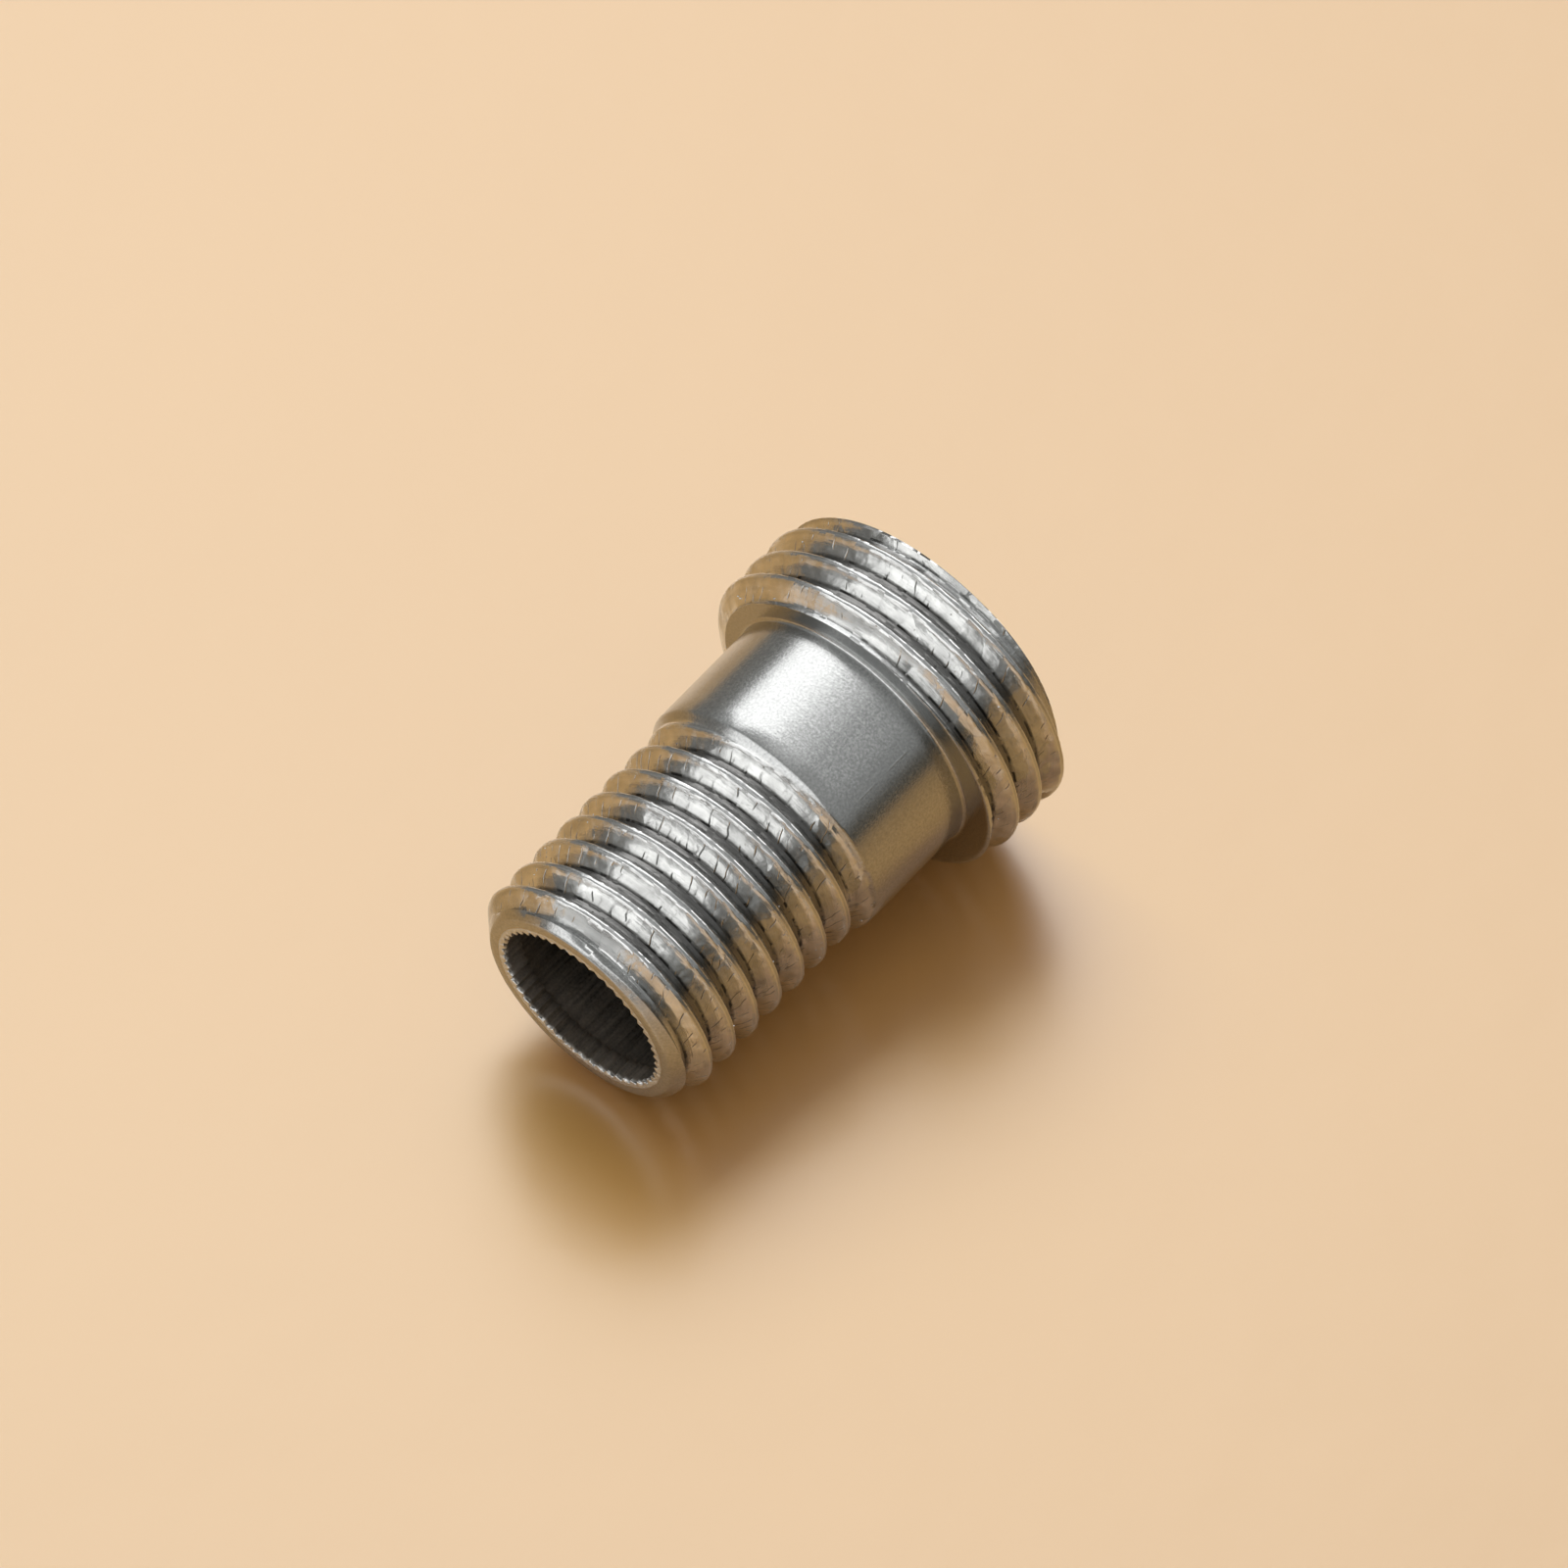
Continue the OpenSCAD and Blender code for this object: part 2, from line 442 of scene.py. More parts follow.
@dataclass(frozen=True)
class SealRubber:
    """Matte black rubber with a thin film of grease."""

    name: str = "seal_rubber"
    colour: Triple = (0.020, 0.020, 0.020)
    bloom: Triple = (0.060, 0.058, 0.055)
    grease: float = 0.25
    grease_roughness: float = 0.22

    def material(self) -> bpy.types.Material:
        """Returns the finish, with a faint bloom and moulding grain."""
        g = FinishGraph(self.name)
        grain = g.noise(g.place, 26.0, 3.0, 0.6)
        cloud = g.noise(g.place, 3.0, 2.0, 0.5, 0.6)
        colour = g.mix((cloud * grain * 1.4).clamp(), self.colour, self.bloom)
        rough = 0.5 + (grain - 0.5) * 0.3 + (cloud - 0.5) * 0.15
        return g.surface(
            grain * 0.002 + cloud * 0.002,
            Base_Color=colour,
            Metallic=0.0,
            Roughness=rough.clamp(0.3, 0.8),
            Coat_Weight=self.grease,
            Coat_Roughness=self.grease_roughness,
        )


@dataclass(frozen=True)
class PaleTable:
    """Plain pale warm surface with a satin lacquer, which the tube lies on."""

    name: str = "pale_table"
    colour: Triple = (0.745, 0.365, 0.101)
    roughness: float = 0.32
    lacquer_ior: float = 2.2

    def material(self) -> bpy.types.Material:
        """Returns the finish."""
        g = FinishGraph(self.name)
        cloud = g.noise(g.place, 0.09, 2.0)
        brightness = 1.0 + (cloud - 0.5) * 0.05
        return g.surface(
            g.noise(g.place, 0.8, 2.0) * 0.01,
            Base_Color=g.tint(self.colour, brightness),
            Roughness=self.roughness,
            IOR=self.lacquer_ior,
        )


@dataclass(frozen=True)
class Thread:
    """A right-handed groove round X, whose root is at start on the underside.

    In the last runout turns before end_turn its root climbs to top_r. It has no cut
    past ends_at_x. Before shallow_to_x it gets shallower by shallow_by, within
    shallow_len.
    """

    label: str
    crest_r: float
    pitch: float
    start: float
    end_turn: float = FAR
    runout: float = 1.0
    top_r: float = FAR
    ends_at_x: float = FAR
    shallow_to_x: float = -FAR
    shallow_len: float = 0.12
    shallow_by: float = 0.0
    flank_half_angle: float = 30.0
    crest_share: float = 1 / 8
    root_share: float = 1 / 6

    @property
    def slope(self) -> float:
        """Returns the flank's rise for each unit along the axis."""
        return 1.0 / math.tan(math.radians(self.flank_half_angle))

    @property
    def flank_share(self) -> float:
        """Returns the share of the pitch that one flank takes."""
        return (1.0 - self.crest_share - self.root_share) / 2

    @property
    def root_r(self) -> float:
        """Returns the radius at the groove's bottom."""
        return self.crest_r - self.pitch * self.flank_share * self.slope


@dataclass(frozen=True)
class Column:
    """A point of an outline, which the lathe carries once round the axis.

    Its place is x and r. It climbs by lead in one turn and stays between low and
    high. Its radius stays under x + ramp_in and under ramp_out - x. Where land is
    1, it follows the teeth.
    """

    x: float
    r: float
    lead: float = 0.0
    low: float = -FAR
    high: float = FAR
    ramp_in: float = FAR
    ramp_out: float = FAR
    land: float = 0.0


class ShapeGraph(Graph):
    """Geometry node tree with named inputs."""

    def __init__(self, name: str) -> None:
        """Makes an empty tree with a geometry input and output."""
        tree = bpy.data.node_groups.new(name, "GeometryNodeTree")
        super().__init__(tree)
        tree.interface.new_socket("Geometry", in_out="INPUT", socket_type="NodeSocketGeometry")
        tree.interface.new_socket("Geometry", in_out="OUTPUT", socket_type="NodeSocketGeometry")
        self.entry = self.node("NodeGroupInput")
        self.values: dict[str, object] = {}

    def size(self, name: str, value: object, kind: str = "Float") -> Wire:
        """Adds a named input.

        Args:
            name: Name of the input.
            value: What the modifier sets it to.
            kind: Kind of socket.

        Returns:
            The input as a wire.
        """
        made = self.tree.interface.new_socket(name, in_out="INPUT", socket_type="NodeSocket" + kind)
        self.values[made.identifier] = value
        return self.entry.out(name)

    def stored(self, name: str) -> Wire:
        """Returns a mark that was kept on the points."""
        return self.node("GeometryNodeInputNamedAttribute", {"Name": name}, data_type="FLOAT")

    def store(self, shape: Wire, name: str, value: Wire) -> Wire:
        """Keeps a mark on the points and returns the shape."""
        return self.node(
            "GeometryNodeStoreNamedAttribute",
            {"Geometry": shape, "Name": name, "Value": value},
            data_type="FLOAT",
            domain="POINT",
        )

    def random(self, low: Triple, high: Triple, seed: Wire) -> Wire:
        """Returns a random vector for each point."""
        limits = {0: low, 1: high, "Seed": seed}
        return self.node("FunctionNodeRandomValue", limits, data_type="FLOAT_VECTOR")

    def made_on(self, blank: bpy.types.Object, result: Wire) -> bpy.types.Object:
        """Runs the tree on an object and keeps the result as its plain mesh.

        Args:
            blank: Object whose mesh the tree starts from.
            result: Geometry that the tree ends in.

        Returns:
            The same object, with its new mesh and no modifier.
        """
        self.node("NodeGroupOutput", {0: result})
        modifier = blank.modifiers.new(self.tree.name, "NODES")
        modifier.node_group = self.tree
        for identifier, value in self.values.items():
            modifier[identifier] = value
        view = bpy.context.evaluated_depsgraph_get()
        mesh = bpy.data.meshes.new_from_object(blank.evaluated_get(view))
        blank.modifiers.remove(modifier)
        blank.data = mesh
        mesh.name = blank.name
        return blank


@dataclass
class Lathe:
    """Turns an outline of columns round X, and cuts threads and teeth in it.

    A groove's near flank is the one past its root along X. It swells, and its edge
    is rounder than the far flank's, which is torn less.
    """

    name: str
    steps: int = 400
    threads: tuple[Thread, ...] = ()
    teeth: int = 0
    tooth_depth: float = 0.0
    tear_depth: float = 0.0
    near_rounding: float = 0.028
    far_rounding: float = 0.012
    swell: float = 0.019
    far_tear: float = 0.65
    edge_from_r: float = 1.3
    bright_land: float = 0.03
    burrs: float = 0.0
    burr_r: float = 0.014
    widest_r: float = FAR
    ends: tuple[float, float] = (-FAR, FAR)
    seed: int = 7
    crease: float = 50.0
    weld: float = 0.0008

    def turn(self, outline: list[Column], material: bpy.types.Material) -> bpy.types.Object:
        """Makes the turned piece.

        Args:
            outline: Closed outline, with the metal on the right of the way along it.
            material: Finish of the piece.

        Returns:
            The piece, at the origin, in metres.
        """
        g = ShapeGraph(self.name + "_lathe")
        steps = g.size("Steps in a turn", self.steps, "Int")
        index = g.node("GeometryNodeInputIndex")
        grid = g.node(
            "GeometryNodeMeshGrid",
            {"Vertices X": len(outline) + 1, "Vertices Y": steps + 1.0},
        )
        column = ((index + 0.5) / (steps + 1.0)).floor()
        turn = (index - column * (steps + 1.0)) / steps
        read = {name: self._column_value(g, name, column, len(outline)) for name in COLUMN_VALUES}

        x = (read["x"] + read["lead"] * turn).most(read["low"]).least(read["high"])
        blank_r = read["r"].least(x + read["ramp_in"]).least(read["ramp_out"] - x)
        r, tear, edge, depth, ridge = self._thread_cut(g, x, turn, blank_r)
        r = r + read["land"] * self._tooth(g, turn)
        # The teeth's land near the mouth joins the edge mark, which the finish paints with a
        # highlight.
        edge = edge.most(read["land"] * (x < self.ends[0] + self.bright_land))

        angle = turn * math.tau
        around = g.vector(x, r * g.math("SINE", angle), r * g.math("COSINE", angle) * -1.0)
        shape = g.node("GeometryNodeSetPosition", {"Geometry": grid, "Position": around})
        for name, value in (("tear", tear), ("edge", edge), ("depth", depth), ("ridge", ridge)):
            shape = g.store(shape, name, value)
        shape = g.node("GeometryNodeMergeByDistance", {"Geometry": shape, "Distance": self.weld})
        if self.tear_depth:
            shape = self._torn(g, shape)
        crease = g.size("Crease angle", math.radians(self.crease))
        bend = g.node("GeometryNodeInputMeshEdgeAngle")
        smooth = "GeometryNodeSetShadeSmooth"
        shape = g.node(smooth, {0: shape, "Shade Smooth": True}, domain="FACE")
        sharp = {0: shape, "Selection": bend > crease, "Shade Smooth": False}
        shape = g.node(smooth, sharp, domain="EDGE")
        if self.burrs:
            shape = self._burred(g, shape)
        shape = g.node("GeometryNodeTransform", {"Geometry": shape, "Scale": (METRES,) * 3})
        shape = g.node("GeometryNodeRealizeInstances", {"Geometry": shape})
        shape = g.node(
            "GeometryNodeSetMaterial",
            {"Geometry": shape, "Material": g.size("Finish", material, "Material")},
        )
        return g.made_on(self._blank(outline), shape)

    def _blank(self, outline: list[Column]) -> bpy.types.Object:
        """Returns an object whose points hold the outline, which ends at its first point."""
        closed = [*outline, outline[0]]
        mesh = bpy.data.meshes.new(self.name)
        mesh.from_pydata([(c.x, c.r, 0.0) for c in closed], [], [])
        for name in COLUMN_VALUES:
            values = mesh.attributes.new("column_" + name, "FLOAT", "POINT")
            for i, one in enumerate(closed):
                values.data[i].value = getattr(one, name)
        made = bpy.data.objects.new(self.name, mesh)
        bpy.context.scene.collection.objects.link(made)
        return made

    def _column_value(self, g: ShapeGraph, name: str, column: Wire, last: int) -> Wire:
        """Returns one value of the outline's point that a grid point belongs to."""
        value = g.stored("column_" + name)
        return g.node(
            "GeometryNodeSampleIndex",
            {"Geometry": g.entry, "Value": value, "Index": column.least(last)},
            data_type="FLOAT",
            domain="POINT",
        )

    def _thread_cut(self, g: ShapeGraph, x: Wire, turn: Wire, blank_r: Wire) -> tuple[Wire, ...]:
        """Cuts every thread.

        Args:
            g: Tree of the shape.
            x: Place along the axis.
            turn: Share of the way round.
            blank_r: Radius before the cut.

        Returns:
            The radius under every thread, with the marks tear, edge, depth and ridge.
        """
        r, none = blank_r, turn * 0.0
        tear, edge, depth, ridge = none, none, none, none
        for thread in self.threads:
            pitch = g.size(thread.label + " pitch", thread.pitch)
            start = g.size(thread.label + " start", thread.start)
            along = (x - start) / pitch - turn
            count = (along + 0.5).floor()
            off = along - count
            aside, near = abs(off), off > 0.0
            root_half = thread.root_share / 2
            lift = (1.0 - (thread.end_turn - (turn + count)) / thread.runout).clamp()
            floor_r = thread.root_r + (thread.top_r - thread.root_r) * lift
            groove_r = floor_r + ((aside - root_half) * pitch * thread.slope).most(0.0)
            climb = ((aside - root_half) / thread.flank_share).clamp()
            groove_r = groove_r + climb * (1.0 - climb) * near * (4.0 * self.swell)
            groove_r = groove_r + (x > thread.ends_at_x) * FAR
            before = thread.shallow_to_x - x
            groove_r = groove_r + before.rise(0.0, thread.shallow_len) * thread.shallow_by

            cut_here = (blank_r - groove_r).rise(0.002, 0.02)
            crest_at = 0.5 - thread.crest_share / 2
            flank = aside.rise(0.05, 0.11) * (1.0 - aside.rise(crest_at - 0.02, crest_at + 0.03))
            torn = flank * (near * (1.0 - self.far_tear) + self.far_tear) * cut_here
            tear = tear.most(torn * (1.0 - before.rise(-0.08, 0.06)))
            # Crest edges, which the finish paints with a highlight.
            full = (thread.crest_r - blank_r).bump_at(0.0, 0.03)
            edge = edge.most(aside.bump_at(crest_at, 0.05) * full)
            # How deep a point lies in a groove; the finish paints shade from it.
            sunk = (blank_r - groove_r) / (thread.crest_r - thread.root_r)
            depth = depth.most(sunk.clamp() * (blank_r > groove_r))
            ridge = ridge + along.floor() * (flank > 0.0) * cut_here
            rounding = self.far_rounding + near * (self.near_rounding - self.far_rounding)
            r = r.eased_least(groove_r, rounding)
        return r, tear, edge * (r > self.edge_from_r), depth, ridge

    def _tooth(self, g: ShapeGraph, turn: Wire) -> Wire:
        """Returns the depth of the teeth, which is 0 at their tips."""
        teeth = g.size("Teeth", self.teeth, "Int")
        tooth_depth = g.size("Tooth depth", self.tooth_depth)
        return abs((turn * teeth + 0.5).fract() - 0.5) * 2.0 * tooth_depth

    def _torn(self, g: ShapeGraph, shape: Wire) -> Wire:
        """Moves the flanks and the crests' edges in and out, as a blunt tool leaves them."""
        place = g.node("GeometryNodeInputPosition")
        amount = g.size("Tear depth", self.tear_depth)
        coarse = g.noise(place, 5.5, 2.0, 0.6) - 0.5
        fine = g.noise(place.moved((31.0, 7.0, 3.0)), 17.0, 2.0, 0.6) - 0.5
        strength = g.stored("tear").most(g.stored("edge") * 1.3)
        push = (coarse * 2.0 + fine * 1.1) * amount * strength
        moved = place.moved(g.node("GeometryNodeInputNormal").scaled(push))
        x, y, z = moved.parts()
        reach = g.math("SQRT", y * y + z * z)
        hold = (self.widest_r / reach).least(1.0)
        kept = g.vector(x.most(self.ends[0]).least(self.ends[1]), y * hold, z * hold)
        return g.node("GeometryNodeSetPosition", {"Geometry": shape, "Position": kept})

    def _burred(self, g: ShapeGraph, shape: Wire) -> Wire:
        """Adds small beads of metal on the threads' flanks."""
        x, y, z = g.node("GeometryNodeInputPosition").parts()
        reach = g.math("SQRT", y * y + z * z)
        room = (reach < self.widest_r - 2.2 * self.burr_r) * (g.stored("tear") > 0.4)
        seed = g.size("Seed", self.seed, "Int")
        density = g.size("Burrs on a square millimetre", self.burrs) * room
        points = g.node(
            "GeometryNodeDistributePointsOnFaces",
            {"Mesh": shape, "Density": density, "Seed": seed},
        )
        radius = g.size("Burr radius", self.burr_r)
        bead = g.node("GeometryNodeMeshIcoSphere", {"Radius": radius, "Subdivisions": 2})
        bead = g.node("GeometryNodeSetShadeSmooth", {0: bead, "Shade Smooth": True})
        beads = g.node(
            "GeometryNodeInstanceOnPoints",
            {
                "Points": points,
                "Instance": bead,
                "Scale": g.random((0.35, 0.35, 0.3), (1.25, 0.9, 0.8), seed),
                "Rotation": g.random((0.0, 0.0, 0.0), (6.28, 6.28, 6.28), seed + 1.0),
            },
        )
        both = g.node("GeometryNodeJoinGeometry", {0: shape})
        g.tree.links.new(beads.socket, both.socket.node.inputs[0])
        return both


COLUMN_VALUES = ("x", "r", "lead", "low", "high", "ramp_in", "ramp_out", "land")


def helical_columns(thread: Thread, low: float, high: float, **limits: float) -> list[Column]:
    """Returns columns that climb with a thread, from one turn below low up to high.

    Args:
        thread: The thread that they follow.
        low: Where the zone starts.
        high: Where the zone ends.
        limits: Ramps that bound the radius.

    Returns:
        The columns in order along X.
    """
    shares = (0.0, 0.06, 0.11, 0.21, 0.31, 0.365, 0.405, 0.44, 0.475, 0.52, 0.555, 0.59, 0.75, 0.92)
    first = math.floor((low - thread.start) / thread.pitch) - 2
    last = math.ceil((high - thread.start) / thread.pitch) + 1
    places = [thread.start + (k + s) * thread.pitch for k in range(first, last) for s in shares]
    kept = [p for p in places if low - thread.pitch - 1e-6 <= p < high]
    return [
        Column(p, thread.crest_r, lead=thread.pitch, low=low, high=high, **limits)
        for p in (*kept, high)
    ]


@dataclass
class Piece:
    """One finished piece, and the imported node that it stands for."""

    node: str
    slot: Slot

    def settle(self, made: bpy.types.Object) -> bpy.types.Object:
        """Ties the finished object to the frame and reports it."""
        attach(made, ROOT_BODY)
        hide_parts(self.node)
        triangles = sum(len(p.vertices) - 2 for p in made.data.polygons)
        log.info("%s stands for %s, %d triangles", made.name, self.node, triangles)
        return made


@dataclass
class TubeBody(Piece):
    """The steel tube: case thread, neck, head, crown thread, pocket, bore and teeth."""

    node: str = "tube_body"
    slot: Slot = Slot.TUBE_STEEL
    narrow_x: float = -4.20
    face_r: float = 1.18
    case_r: float = 1.40
    case_end_x: float = -1.48
    neck_x: float = -1.38
    neck_r: float = 1.47
    fillet: float = 0.04
    crown_r: float = 1.90
    head_len: float = 1.22
    seat_chamfer: float = 0.115
    crown_chamfer: float = 0.13
    pocket_r: float = 1.30
    bore_r: float = 1.05
    tip_r: float = 0.975
    tooth_depth: float = 0.05
    land_len: float = 0.25
    teeth: int = 50
    pitch: float = 0.35
    case_start: float = 0.06
    crown_start: float = 0.11
    runout: float = 0.6
    past_cone: float = 0.35
    break_edge: float = 0.008

    def case_thread(self) -> Thread:
        """Returns the thread that screws into the case, which runs out on the cone."""
        turns = (self.case_end_x - self.narrow_x + self.case_start) / self.pitch
        return Thread(
            "Case thread",
            self.case_r,
            self.pitch,
            self.narrow_x - self.case_start,
            end_turn=turns + self.past_cone,
            runout=self.runout,
            top_r=self.neck_r + 0.025,
            ends_at_x=-1.3,
            shallow_to_x=self.narrow_x + 0.13,
            shallow_by=0.16,
        )

    def crown_thread(self) -> Thread:
        """Returns the thread that carries the crown."""
        start = -self.crown_start
        return Thread("Crown thread", self.crown_r, self.pitch, start, top_r=self.crown_r)

    def outline(self) -> list[Column]:
        """Returns the outline from the mouth over the outside and back through the bore."""
        e = self.break_edge
        root_r = self.tip_r + self.tooth_depth
        face = [
            Column(self.narrow_x + e, self.tip_r, land=1.0),
            Column(self.narrow_x, self.tip_r + e, land=1.0),
        ]
        face += [Column(self.narrow_x, r) for r in (root_r + 0.02, 1.08, 1.12, self.face_r - e)]
        case = helical_columns(
            self.case_thread(),
            self.narrow_x + e,
            self.case_end_x,
            ramp_in=self.face_r - self.narrow_x,
        )
        lead = self.neck_x - self.case_end_x
        cone = [
            Column(self.case_end_x + lead * s, self.case_r + (self.neck_r - self.case_r) * s)
            for s in (0.1, 0.3, 0.5, 0.7, 0.92)
        ]
        start_x, end_x = self.neck_x + e, -self.fillet - e
        neck = [Column(start_x + (end_x - start_x) * i / 8, self.neck_r) for i in range(9)]
        bends = [math.radians(90 * i / 6) for i in range(7)]
        corner = [
            Column(-self.fillet * (1 - math.sin(a)), self.neck_r + self.fillet * (1 - math.cos(a)))
            for a in bends
        ]
        seat_r = self.crown_r - self.seat_chamfer
        seat = [Column(0.0, r) for r in (1.52, 1.58, 1.64, 1.68, 1.705, 1.73, 1.755, seat_r - e)]
        crown = helical_columns(
            self.crown_thread(),
            e,
            self.head_len - e,
            ramp_in=seat_r,
            ramp_out=self.crown_r - self.crown_chamfer + self.head_len,
        )
        rim_r = self.crown_r - self.crown_chamfer
        end_radii = (rim_r - e, 1.73, 1.70, 1.67, 1.6, 1.5, 1.4, self.pocket_r + e)
        end = [Column(self.head_len, r) for r in end_radii]
        pocket = [Column(x, self.pocket_r) for x in (self.head_len - e, 1.13, 0.9, 0.6, 0.3, 0.02)]
        floor = [Column(0.0, r) for r in (self.pocket_r - 0.02, 1.2, self.bore_r + e)]
        bore = [Column(x, self.bore_r) for x in (-e, -0.6, -1.2, -1.8, -2.4, -3.0, -3.5, -3.85)]
        step_x = self.narrow_x + self.land_len
        step = [Column(step_x, self.bore_r), Column(step_x - 0.002, self.tip_r + 0.004, land=1.0)]
        land = [
            Column(self.narrow_x + self.land_len * s, self.tip_r, land=1.0)
            for s in (0.95, 0.7, 0.45, 0.2)
        ]
        outside = [*face, *case, *cone, *neck, *corner, *seat, *crown, *end]
        return [*outside, *pocket, *floor, *bore, *step, *land]

    def build(self, finish: TubeSteel) -> bpy.types.Object:
        """Makes the tube and gives it its finish."""
        lathe = Lathe(
            "crown_tube",
            steps=8 * self.teeth,
            threads=(self.case_thread(), self.crown_thread()),
            teeth=self.teeth,
            tooth_depth=self.tooth_depth,
            tear_depth=0.006,
            burrs=2.6,
            widest_r=self.crown_r,
            ends=(self.narrow_x, self.head_len),
        )
        return self.settle(lathe.turn(self.outline(), finish.material()))


@dataclass
class SealRing(Piece):
    """A rubber ring with a faint mould line round its inside and its outside."""

    centre_x: float = 0.0
    name: str = "seal_ring"
    slot: Slot = Slot.SEAL_RUBBER
    cord_d: float = 0.315
    centre_r: float = 1.1375
    mould_line: float = 0.0035
    facets: int = 40

    def outline(self) -> list[Column]:
        """Returns the cord's section, which is pulled in a little where no mould line is."""
        columns = []
        for i in range(self.facets):
            a = math.tau * i / self.facets
            line = math.exp(-((math.sin(a) / 0.12) ** 2))
            radius = self.cord_d / 2 - self.mould_line * (1 - line)
            x, r = self.centre_x + radius * math.sin(a), self.centre_r + radius * math.cos(a)
            columns.append(Column(x, r))
        return columns[::-1]

    def build(self, finish: SealRubber) -> bpy.types.Object:
        """Makes the ring and gives it its finish."""
        lathe = Lathe(self.name, steps=240)
        return self.settle(lathe.turn(self.outline(), finish.material()))


@dataclass
class PocketRing(Piece):
    """A turned steel ring in the pocket, with broken edges and room for a lead-in."""

    low_x: float = 0.0
    high_x: float = 0.1
    name: str = "pocket_ring"
    slot: Slot = Slot.RING_STEEL
    outer_r: float = 1.295
    inner_r: float = 1.05
    lead_in: float = 0.0
    break_edge: float = 0.006

    def outline(self) -> list[Column]:
        """Returns the section, from the inner edge at low_x over the outside."""
        e = self.break_edge
        lead = max(self.lead_in, e)
        mid = (self.low_x + self.high_x) / 2
        points = [
            (self.low_x + e, self.inner_r),
            (self.low_x, self.inner_r + e),
            (self.low_x, self.outer_r - e),
            (self.low_x + e, self.outer_r),
            (mid, self.outer_r),
            (self.high_x - e, self.outer_r),
            (self.high_x, self.outer_r - e),
            (self.high_x, self.inner_r + lead),
            (self.high_x - lead, self.inner_r),
            (mid, self.inner_r),
        ]
        return [Column(x, r) for x, r in points]

    def build(self, finish: RingSteel) -> bpy.types.Object:
        """Makes the ring and gives it its finish."""
        lathe = Lathe(self.name, steps=240, crease=30.0)
        return self.settle(lathe.turn(self.outline(), finish.material()))


@dataclass(frozen=True)
class Softbox:
    """A rectangular softbox that faces the tube.

    It hangs in the direction to, and its height is along up. Its angles are half of
    its width and of its height, in degrees from the tube. Its level is the
    brightness of its face, where 1 is white. Its table state says whether light
    linking keeps it off the table or on the table alone.
    """

    name: str
    to: Triple
    up: Triple
    angles: tuple[float, float]
    level: float
    colour: Triple = (1.0, 1.0, 1.0)
    on_diffuse: bool = False
    on_glossy: bool = True
    table_state: str = ""
    distance: float = 300.0

    def hang(self, table: bpy.types.Object) -> None:
        """Adds the lamp.

        Args:
            table: The table, which the lamp may leave out or light alone.
        """
        to = Vector(self.to).normalized()
        up = Vector(self.up)
        up = (up - to * up.dot(to)).normalized()
        distance = self.distance * METRES
        lamp = bpy.data.lights.new(self.name, "AREA")
        lamp.shape = "RECTANGLE"
        lamp.size, lamp.size_y = (2 * distance * math.tan(math.radians(a)) for a in self.angles)
        lamp.energy = 4 * self.level * lamp.size * lamp.size_y
        lamp.color = self.colour
        holder = bpy.data.objects.new(self.name, lamp)
        pose = Matrix((up.cross(to), up, to)).transposed().to_4x4()
        pose.translation = to * distance
        holder.matrix_world = pose
        holder.visible_camera = False
        holder.visible_diffuse = self.on_diffuse
        holder.visible_glossy = self.on_glossy
        bpy.context.scene.collection.objects.link(holder)
        if self.table_state:
            reach = bpy.data.collections.new(self.name + "_reach")
            reach.objects.link(table)
            reach.collection_objects[0].light_linking.link_state = self.table_state
            holder.light_linking.receiver_collection = reach


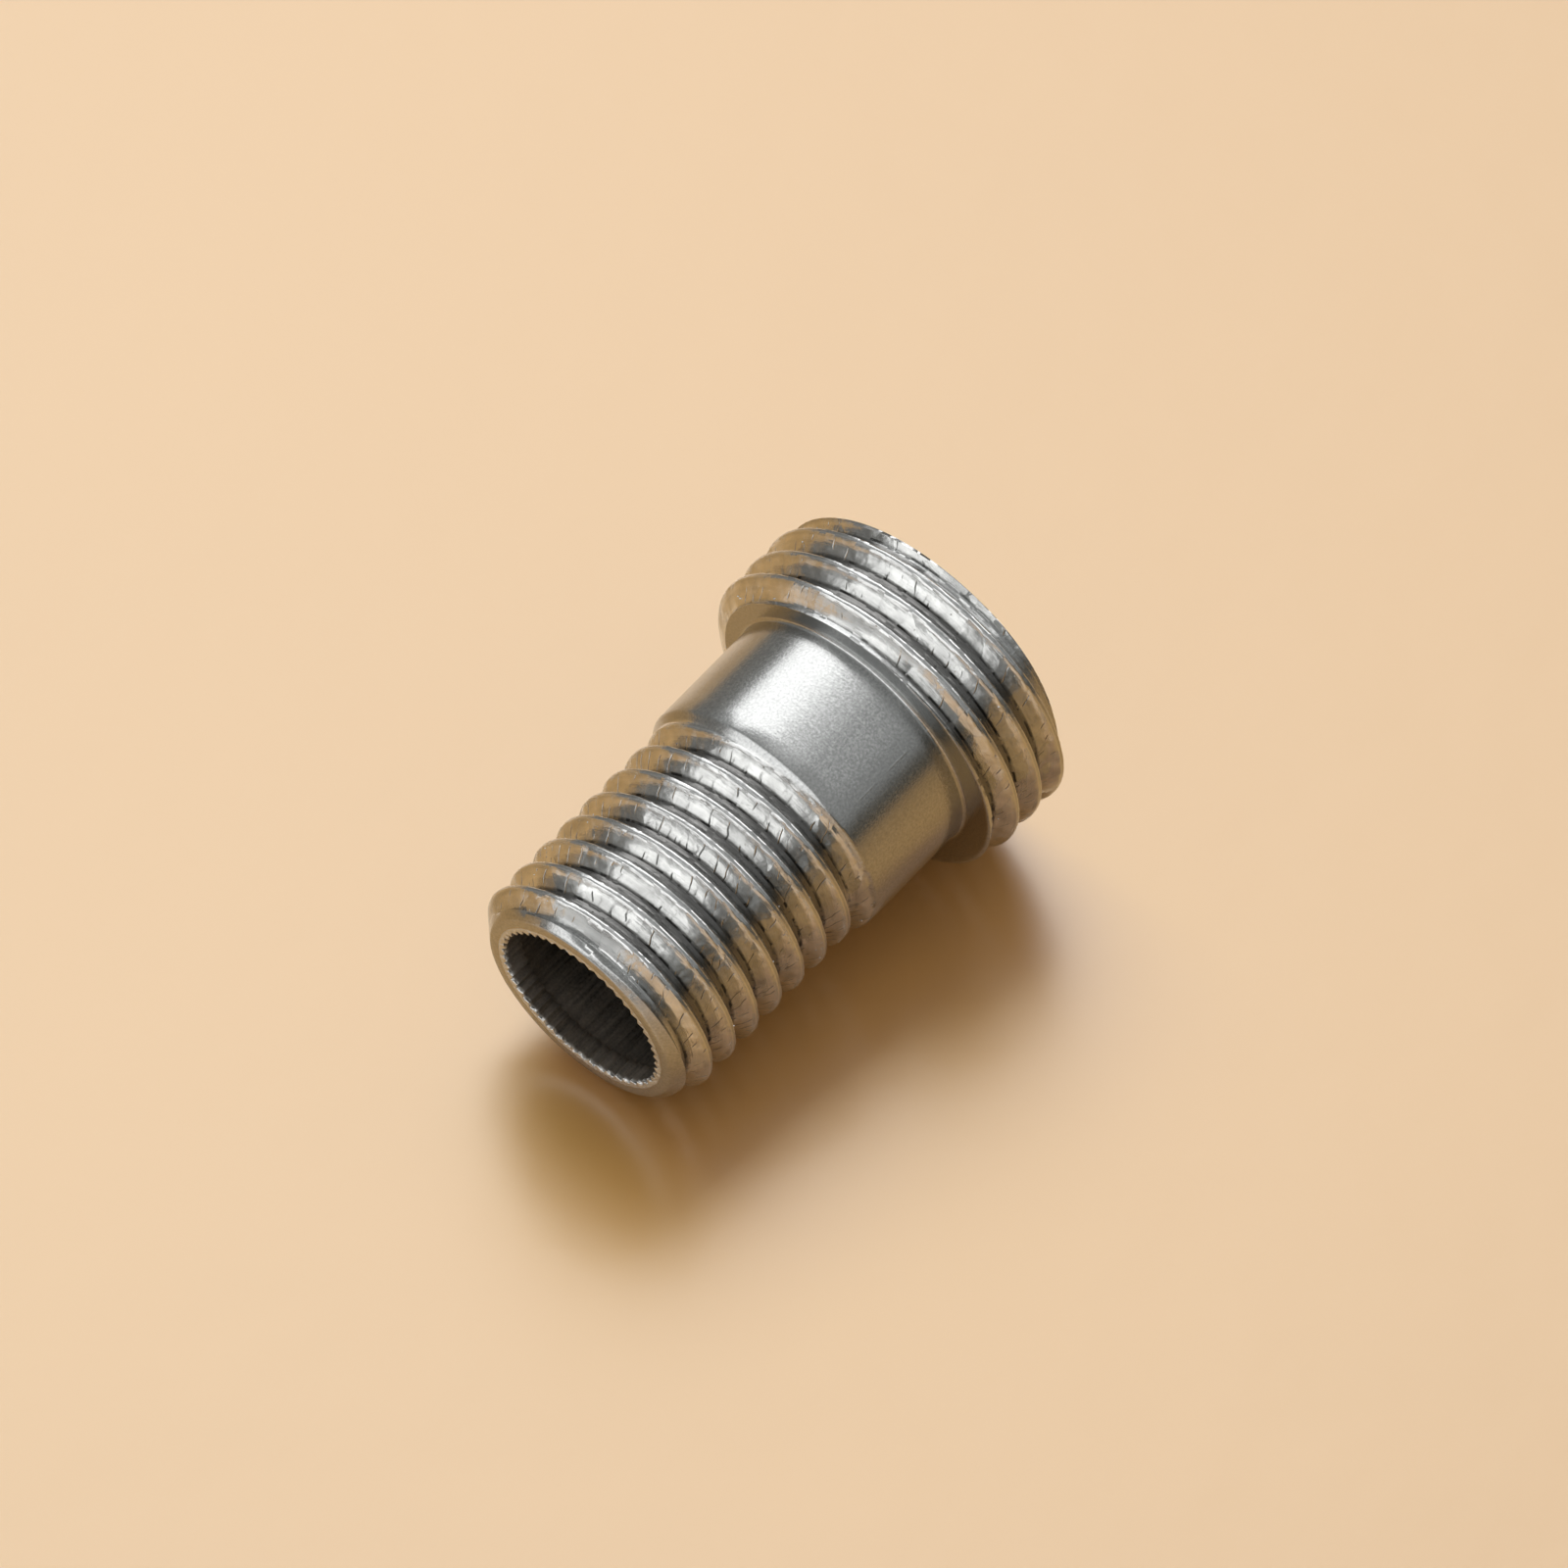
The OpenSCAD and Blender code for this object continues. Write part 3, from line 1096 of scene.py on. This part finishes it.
@dataclass
class Studio:
    """Camera, lights, sky, table and card."""

    lens: float = 225.0
    sensor: float = 36.0
    clip: tuple[float, float] = (0.001, 20.0)
    eye: Triple = (-38.494, -40.222, 81.690)
    right: Triple = (0.64738, -0.75830, -0.07673)
    down: Triple = (-0.65995, -0.50735, -0.55414)
    table_normal: Triple = (0.1212, 0.0, 0.9926)
    table_depth: float = 1.872
    table_half: float = 450.0
    softboxes: tuple[Softbox, ...] = (
        Softbox(
            "key_softbox",
            to=(0.716, 0.105, 0.690),
            up=(-0.148, 0.957, 0.25),
            angles=(20.0, 46.0),
            level=1.35,
            table_state="EXCLUDE",
        ),
        Softbox(
            "side_softbox",
            to=(-0.83, 0.06, 0.555),
            up=(0.555, -0.04, 0.83),
            angles=(38.0, 21.0),
            level=0.9,
        ),
        Softbox(
            "sheen_softbox",
            to=(0.54, 0.56, 0.63),
            up=(-0.19, 0.72, -0.67),
            angles=(20.0, 25.0),
            level=1.75,
            table_state="INCLUDE",
        ),
        Softbox(
            "table_light",
            to=(0.30, 0.50, 0.81),
            up=(0.0, -0.85, 0.52),
            angles=(18.0, 18.0),
            level=3.15,
            colour=(0.75, 1.0, 0.97),
            on_diffuse=True,
            on_glossy=False,
        ),
    )
    card_colour: Triple = (0.909, 0.801, 0.808)
    card_places: tuple[tuple[float, float], ...] = (
        (-7.0, -3.0),
        (-7.0, 4.0),
        (-300.0, 300.0),
        (-300.0, -80.0),
    )
    card_lift: float = 0.02
    dim: Triple = (0.095, 0.088, 0.070)
    dim_left: Triple = (0.23, 0.225, 0.21)
    low_sky: Triple = (0.33, 0.335, 0.33)
    high_sky: Triple = (0.42, 0.425, 0.42)
    glow: Triple = (0.72, 0.725, 0.72)
    glow_to: Triple = (0.389, 0.05, 0.92)
    backdrop: Triple = (0.80, 0.66, 0.46)

    def camera(self) -> None:
        """Makes the camera at the photograph's place, with a near clipping plane."""
        made = bpy.data.cameras.new("camera")
        made.lens = self.lens
        made.sensor_width = self.sensor
        made.clip_start, made.clip_end = self.clip
        holder = bpy.data.objects.new("camera", made)
        right, up = Vector(self.right).normalized(), -Vector(self.down).normalized()
        back = right.cross(up)
        pose = Matrix((right, up, back)).transposed().to_4x4()
        pose.translation = Vector(self.eye) * METRES
        holder.matrix_world = pose
        bpy.context.scene.collection.objects.link(holder)
        bpy.context.scene.camera = holder

    def sheet(
        self, name: str, places: tuple[tuple[float, float], ...], lift: float
    ) -> bpy.types.Object:
        """Lays a flat sheet on the table's plane.

        Args:
            name: Name of the sheet.
            places: Its four corners, each along the table and across it.
            lift: Its height over the table.

        Returns:
            The sheet, marked as staging.
        """
        normal = Vector(self.table_normal).normalized()
        across = Vector((0.0, 1.0, 0.0))
        along = across.cross(normal)
        middle = normal * (lift - self.table_depth)
        corners = [(middle + along * i + across * j) * METRES for i, j in places]
        mesh = bpy.data.meshes.new(name)
        mesh.from_pydata(corners, [], [(0, 1, 2, 3)])
        made = bpy.data.objects.new(name, mesh)
        bpy.context.scene.collection.objects.link(made)
        return made

    def table(self, finish: PaleTable) -> bpy.types.Object:
        """Returns the table, which touches the head's rim and the narrow end's first crest."""
        half = self.table_half
        corners = ((-half, -half), (half, -half), (half, half), (-half, half))
        made = self.sheet("table", corners, 0.0)
        made.data.materials.append(finish.material())
        return made

    def card(self) -> None:
        """Lays a card beyond the narrow end, which only the tube mirrors.

        It is white under the table's light. It has soft edges, and it can't be seen
        from below, where the table would mirror it.
        """
        made = self.sheet("card", self.card_places, self.card_lift)
        g = FinishGraph("card")
        tone = 1.0 + (g.noise(g.place, 0.2, 2.0) - 0.5) * 0.04
        front = g.node("ShaderNodeBsdfDiffuse", {"Color": g.tint(self.card_colour, tone)})
        clear = g.node("ShaderNodeBsdfTransparent")
        below = g.node("ShaderNodeNewGeometry", out="Backfacing")
        away = (g.x * -1.0 - 4.0).most(0.1)
        aside = g.y / away
        sides = (aside + 0.25).rise(0.0, 0.15) * (0.85 - aside).rise(0.0, 0.2)
        see_through = below.most(1.0 - away.rise(3.5, 6.0) * sides)
        shader = g.node("ShaderNodeMixShader", {0: see_through, 1: front, 2: clear})
        g.node("ShaderNodeOutputMaterial", {0: shader})
        made.data.materials.append(g.material)
        made.visible_camera = made.visible_shadow = made.visible_diffuse = False

    def sky_light(self) -> None:
        """Makes a plain sky that is dim just over the table and grey higher up."""
        world = bpy.data.worlds.new("sky")
        bpy.context.scene.world = world
        world.use_nodes = True
        g = Graph(world.node_tree)
        way = g.node("ShaderNodeTexCoord", out="Generated")
        height = way.dot(self.table_normal)
        left = way.dot((0.0, 1.0, 0.0)).clamp()
        dim = g.mix(left, self.dim, self.dim_left)
        over_dim = ((height - left * 0.23 - 0.17) / 0.18).rise(0.0, 1.0)
        low = g.mix(over_dim, dim, self.low_sky)
        high = g.mix(height.rise(0.3, 0.85), low, self.high_sky)
        sky = g.mix(way.dot(self.glow_to).rise(0.90, 0.99), high, self.glow)
        camera_ray = g.node("ShaderNodeLightPath", out="Is Camera Ray")
        seen = g.mix(camera_ray, sky, self.backdrop)
        plain = g.node("ShaderNodeBackground", {"Color": seen, "Strength": 1.0})
        g.node("ShaderNodeOutputWorld", {"Surface": plain})

    def set_up(self) -> None:
        """Makes everything round the tube."""
        bpy.context.scene.view_settings.view_transform = "Standard"
        self.camera()
        table = self.table(PaleTable())
        for softbox in self.softboxes:
            softbox.hang(table)
        self.card()
        self.sky_light()


@dataclass
class CrownTube:
    """The whole assembly, in the order in which its pieces go into the pocket."""

    tube: TubeBody = field(default_factory=TubeBody)
    seals: tuple[SealRing, ...] = (
        SealRing("inner_seal", centre_x=0.1625, name="inner_seal_ring"),
        SealRing("outer_seal", centre_x=0.6175, name="outer_seal_ring"),
    )
    rings: tuple[PocketRing, ...] = (
        PocketRing("seal_spacer", low_x=0.325, high_x=0.455, name="spacer_washer"),
        PocketRing(
            "retaining_collar", low_x=0.78, high_x=1.14, name="collar_ring", lead_in=0.06
        ),
    )

    def build(self) -> None:
        """Makes every piece."""
        self.tube.build(TubeSteel())
        for seal in self.seals:
            seal.build(SealRubber())
        for ring in self.rings:
            ring.build(RingSteel())


def main() -> None:
    """Builds the studio and the assembly."""
    logging.basicConfig(level=logging.INFO, format="%(name)s: %(message)s")
    Studio().set_up()
    CrownTube().build()


if __name__ == "__main__":
    main()
